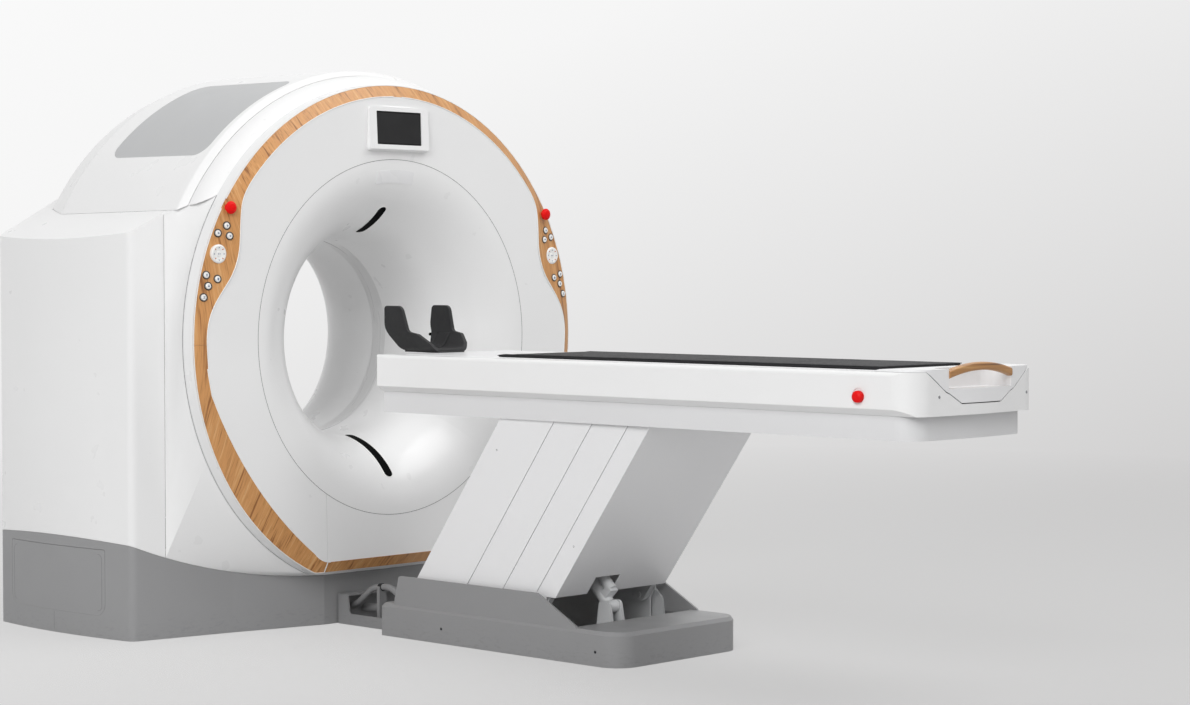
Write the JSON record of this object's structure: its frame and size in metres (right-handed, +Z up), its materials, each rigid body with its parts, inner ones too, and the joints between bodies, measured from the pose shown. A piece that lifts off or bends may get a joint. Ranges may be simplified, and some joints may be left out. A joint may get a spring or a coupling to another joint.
{
  "type": "ct scanner",
  "caption": "Medical scanner: a round-faced housing with a wide flared bore, and a lifting cantilever table whose padded top slides into the bore.",
  "frame": {"origin": "on the floor, under the bore axis, in the plane where the front funnel meets the front cover", "axes": "+X to the right seen from the table, +Y along the bore into the housing, +Z up"},
  "size_m": [2.0034, 3.441, 1.931],
  "materials": {
    "white_shell": "smooth satin gloss",
    "grey_shell": "fine satin",
    "window_grey": "satin",
    "oak": "oiled",
    "clear_window": "smooth",
    "bezel_white": "satin",
    "screen_black": "gloss",
    "frame_steel": "satin",
    "bearing_steel": "ground",
    "motor_grey": "satin",
    "drum_metal": "machined",
    "tube_metal": "satin",
    "detector_dark": "satin",
    "module_grey": "satin",
    "slip_ring_mix": "ground",
    "pulley_steel": "machined",
    "base_grey": "fine satin",
    "trunk_grey": "matt",
    "lift_steel": "satin",
    "sheet_white": "satin",
    "actuator_metal": "machined",
    "rod_chrome": "polished",
    "table_white": "smooth satin gloss",
    "tray_white": "smooth satin gloss",
    "cradle_white": "satin",
    "pad_black": "fine-grained, satin",
    "holder_black": "satin",
    "key_white": "satin",
    "stop_red": "smooth"
  },
  "bodies": {
    "housing": {"plinth": "grey_shell", "front_cover": "white_shell", "wood_trim": "oak", "side_covers": "white_shell", "hood": "white_shell", "roof_windows": "window_grey", "rear_cover": "white_shell", "funnel_front": "white_shell", "funnel_rear": "white_shell", "scan_window": "clear_window", "display_bezel": "bezel_white", "display_screen": "screen_black", "gantry_frame": "frame_steel", "bearing_outer_race": "bearing_steel", "drive_motor": "motor_grey", "base_cover": "base_grey", "base_frame": "frame_steel", "cable_trunk": "trunk_grey"},
    "rotor": {"rotor_drum": "drum_metal", "bearing_inner_race": "bearing_steel", "xray_tube": "tube_metal", "detector_arc": "detector_dark", "rotor_modules": "module_grey", "slip_ring": "slip_ring_mix"},
    "motor_wheel": {"motor_pulley": "pulley_steel"},
    "lift_arms": {"lift_arm": "lift_steel", "gantry_side_cover": "sheet_white"},
    "rear_links": {"rear_link": "lift_steel", "foot_end_cover": "sheet_white"},
    "plates_a": {"side_plates_a": "sheet_white"},
    "plates_b": {"side_plates_b": "sheet_white"},
    "actuator_body": {"actuator_barrel": "actuator_metal"},
    "actuator_stroke": {"actuator_rod": "rod_chrome"},
    "table": {"table_tray": "tray_white", "table_cover": "table_white"},
    "cradle": {"cradle_top": "cradle_white", "mattress": "pad_black", "head_holder": "holder_black", "end_block": "cradle_white", "wood_handle": "oak"},
    "key_left_1": {"key_left_1": "key_white"},
    "key_left_2": {"key_left_2": "key_white"},
    "key_left_3": {"key_left_3": "key_white"},
    "key_left_4": {"key_left_4": "key_white"},
    "key_left_5": {"key_left_5": "key_white"},
    "key_left_6": {"key_left_6": "key_white"},
    "key_left_7": {"key_left_7": "key_white"},
    "dial_left": {"dial_left": "key_white"},
    "estop_left": {"estop_left": "stop_red"},
    "estop_table_left": {"estop_table_left": "stop_red"},
    "key_right_1": {"key_right_1": "key_white"},
    "key_right_2": {"key_right_2": "key_white"},
    "key_right_3": {"key_right_3": "key_white"},
    "key_right_4": {"key_right_4": "key_white"},
    "key_right_5": {"key_right_5": "key_white"},
    "key_right_6": {"key_right_6": "key_white"},
    "key_right_7": {"key_right_7": "key_white"},
    "dial_right": {"dial_right": "key_white"},
    "estop_right": {"estop_right": "stop_red"},
    "estop_table_right": {"estop_table_right": "stop_red"}
  },
  "joints": [
    {"name": "rotor_spin", "type": "hinge", "parent": "housing", "child": "rotor", "pos_m": [0, 0.56, 0.99], "axis": [0, 1, 0], "continuous": true},
    {"name": "motor_spin", "type": "hinge", "parent": "housing", "child": "motor_wheel", "pos_m": [-0.76, 0.59, 0.33], "axis": [0, 1, 0], "continuous": true},
    {"name": "table_lift", "type": "hinge", "parent": "housing", "child": "lift_arms", "pos_m": [0, -0.43, 0.15], "axis": [-1, 0, 0], "range_deg": [-35, 0]},
    {"name": "table_level", "type": "hinge", "parent": "lift_arms", "child": "table", "pos_m": [0, -0.89797, 0.79885], "axis": [-1, 0, 0], "range_deg": [0, 35]},
    {"name": "rear_link_swing", "type": "hinge", "parent": "housing", "child": "rear_links", "pos_m": [0, -0.94, 0.15], "axis": [-1, 0, 0], "range_deg": [-35, 0]},
    {"name": "plates_a_swing", "type": "hinge", "parent": "housing", "child": "plates_a", "pos_m": [0, -0.676, 0.15], "axis": [-1, 0, 0], "range_deg": [-35, 0]},
    {"name": "plates_b_swing", "type": "hinge", "parent": "housing", "child": "plates_b", "pos_m": [0, -0.831, 0.15], "axis": [-1, 0, 0], "range_deg": [-35, 0]},
    {"name": "actuator_swing", "type": "hinge", "parent": "housing", "child": "actuator_body", "pos_m": [-0.03, -1.05, 0.145], "axis": [-1, 0, 0], "range_deg": [-26, 0]},
    {"name": "actuator_extend", "type": "slide", "parent": "actuator_body", "child": "actuator_stroke", "axis": [0, 0.7156, 0.6985], "range_m": [-0.056, 0]},
    {"name": "cradle_slide", "type": "slide", "parent": "table", "child": "cradle", "axis": [0, 1, 0], "range_m": [0, 1.6]},
    {"name": "key_left_1_press", "type": "slide", "parent": "housing", "child": "key_left_1", "axis": [0, 1, 0], "range_m": [0, 0.003], "stiffness_N_per_m": 700, "springref_m": -0.001},
    {"name": "key_left_2_press", "type": "slide", "parent": "housing", "child": "key_left_2", "axis": [0, 1, 0], "range_m": [0, 0.003], "stiffness_N_per_m": 700, "springref_m": -0.001},
    {"name": "key_left_3_press", "type": "slide", "parent": "housing", "child": "key_left_3", "axis": [0, 1, 0], "range_m": [0, 0.003], "stiffness_N_per_m": 700, "springref_m": -0.001},
    {"name": "key_left_4_press", "type": "slide", "parent": "housing", "child": "key_left_4", "axis": [0, 1, 0], "range_m": [0, 0.003], "stiffness_N_per_m": 700, "springref_m": -0.001},
    {"name": "key_left_5_press", "type": "slide", "parent": "housing", "child": "key_left_5", "axis": [0, 1, 0], "range_m": [0, 0.003], "stiffness_N_per_m": 700, "springref_m": -0.001},
    {"name": "key_left_6_press", "type": "slide", "parent": "housing", "child": "key_left_6", "axis": [0, 1, 0], "range_m": [0, 0.003], "stiffness_N_per_m": 700, "springref_m": -0.001},
    {"name": "key_left_7_press", "type": "slide", "parent": "housing", "child": "key_left_7", "axis": [0, 1, 0], "range_m": [0, 0.003], "stiffness_N_per_m": 700, "springref_m": -0.001},
    {"name": "dial_left_press", "type": "slide", "parent": "housing", "child": "dial_left", "axis": [0, 1, 0], "range_m": [0, 0.0015], "stiffness_N_per_m": 1500, "springref_m": -0.001},
    {"name": "estop_left_press", "type": "slide", "parent": "housing", "child": "estop_left", "axis": [0, 1, 0], "range_m": [0, 0.006], "stiffness_N_per_m": 2500, "springref_m": -0.001},
    {"name": "estop_table_left_press", "type": "slide", "parent": "table", "child": "estop_table_left", "axis": [1, 0, 0], "range_m": [0, 0.005], "stiffness_N_per_m": 2500, "springref_m": -0.001},
    {"name": "key_right_1_press", "type": "slide", "parent": "housing", "child": "key_right_1", "axis": [0, 1, 0], "range_m": [0, 0.003], "stiffness_N_per_m": 700, "springref_m": -0.001},
    {"name": "key_right_2_press", "type": "slide", "parent": "housing", "child": "key_right_2", "axis": [0, 1, 0], "range_m": [0, 0.003], "stiffness_N_per_m": 700, "springref_m": -0.001},
    {"name": "key_right_3_press", "type": "slide", "parent": "housing", "child": "key_right_3", "axis": [0, 1, 0], "range_m": [0, 0.003], "stiffness_N_per_m": 700, "springref_m": -0.001},
    {"name": "key_right_4_press", "type": "slide", "parent": "housing", "child": "key_right_4", "axis": [0, 1, 0], "range_m": [0, 0.003], "stiffness_N_per_m": 700, "springref_m": -0.001},
    {"name": "key_right_5_press", "type": "slide", "parent": "housing", "child": "key_right_5", "axis": [0, 1, 0], "range_m": [0, 0.003], "stiffness_N_per_m": 700, "springref_m": -0.001},
    {"name": "key_right_6_press", "type": "slide", "parent": "housing", "child": "key_right_6", "axis": [0, 1, 0], "range_m": [0, 0.003], "stiffness_N_per_m": 700, "springref_m": -0.001},
    {"name": "key_right_7_press", "type": "slide", "parent": "housing", "child": "key_right_7", "axis": [0, 1, 0], "range_m": [0, 0.003], "stiffness_N_per_m": 700, "springref_m": -0.001},
    {"name": "dial_right_press", "type": "slide", "parent": "housing", "child": "dial_right", "axis": [0, 1, 0], "range_m": [0, 0.0015], "stiffness_N_per_m": 1500, "springref_m": -0.001},
    {"name": "estop_right_press", "type": "slide", "parent": "housing", "child": "estop_right", "axis": [0, 1, 0], "range_m": [0, 0.006], "stiffness_N_per_m": 2500, "springref_m": -0.001},
    {"name": "estop_table_right_press", "type": "slide", "parent": "table", "child": "estop_table_right", "axis": [-1, 0, 0], "range_m": [0, 0.005], "stiffness_N_per_m": 2500, "springref_m": -0.001}
  ],
  "couplings": [
    {"joint": "motor_spin", "follows": "rotor_spin", "ratio": 14.8},
    {"joint": "table_level", "follows": "table_lift", "ratio": -1},
    {"joint": "rear_link_swing", "follows": "table_lift", "ratio": 1},
    {"joint": "plates_a_swing", "follows": "table_lift", "ratio": 1},
    {"joint": "plates_b_swing", "follows": "table_lift", "ratio": 1},
    {"joint": "actuator_swing", "follows": "table_lift", "ratio": 0.72713},
    {"joint": "actuator_extend", "follows": "table_lift", "m_per_rad": 0.08553}
  ]
}
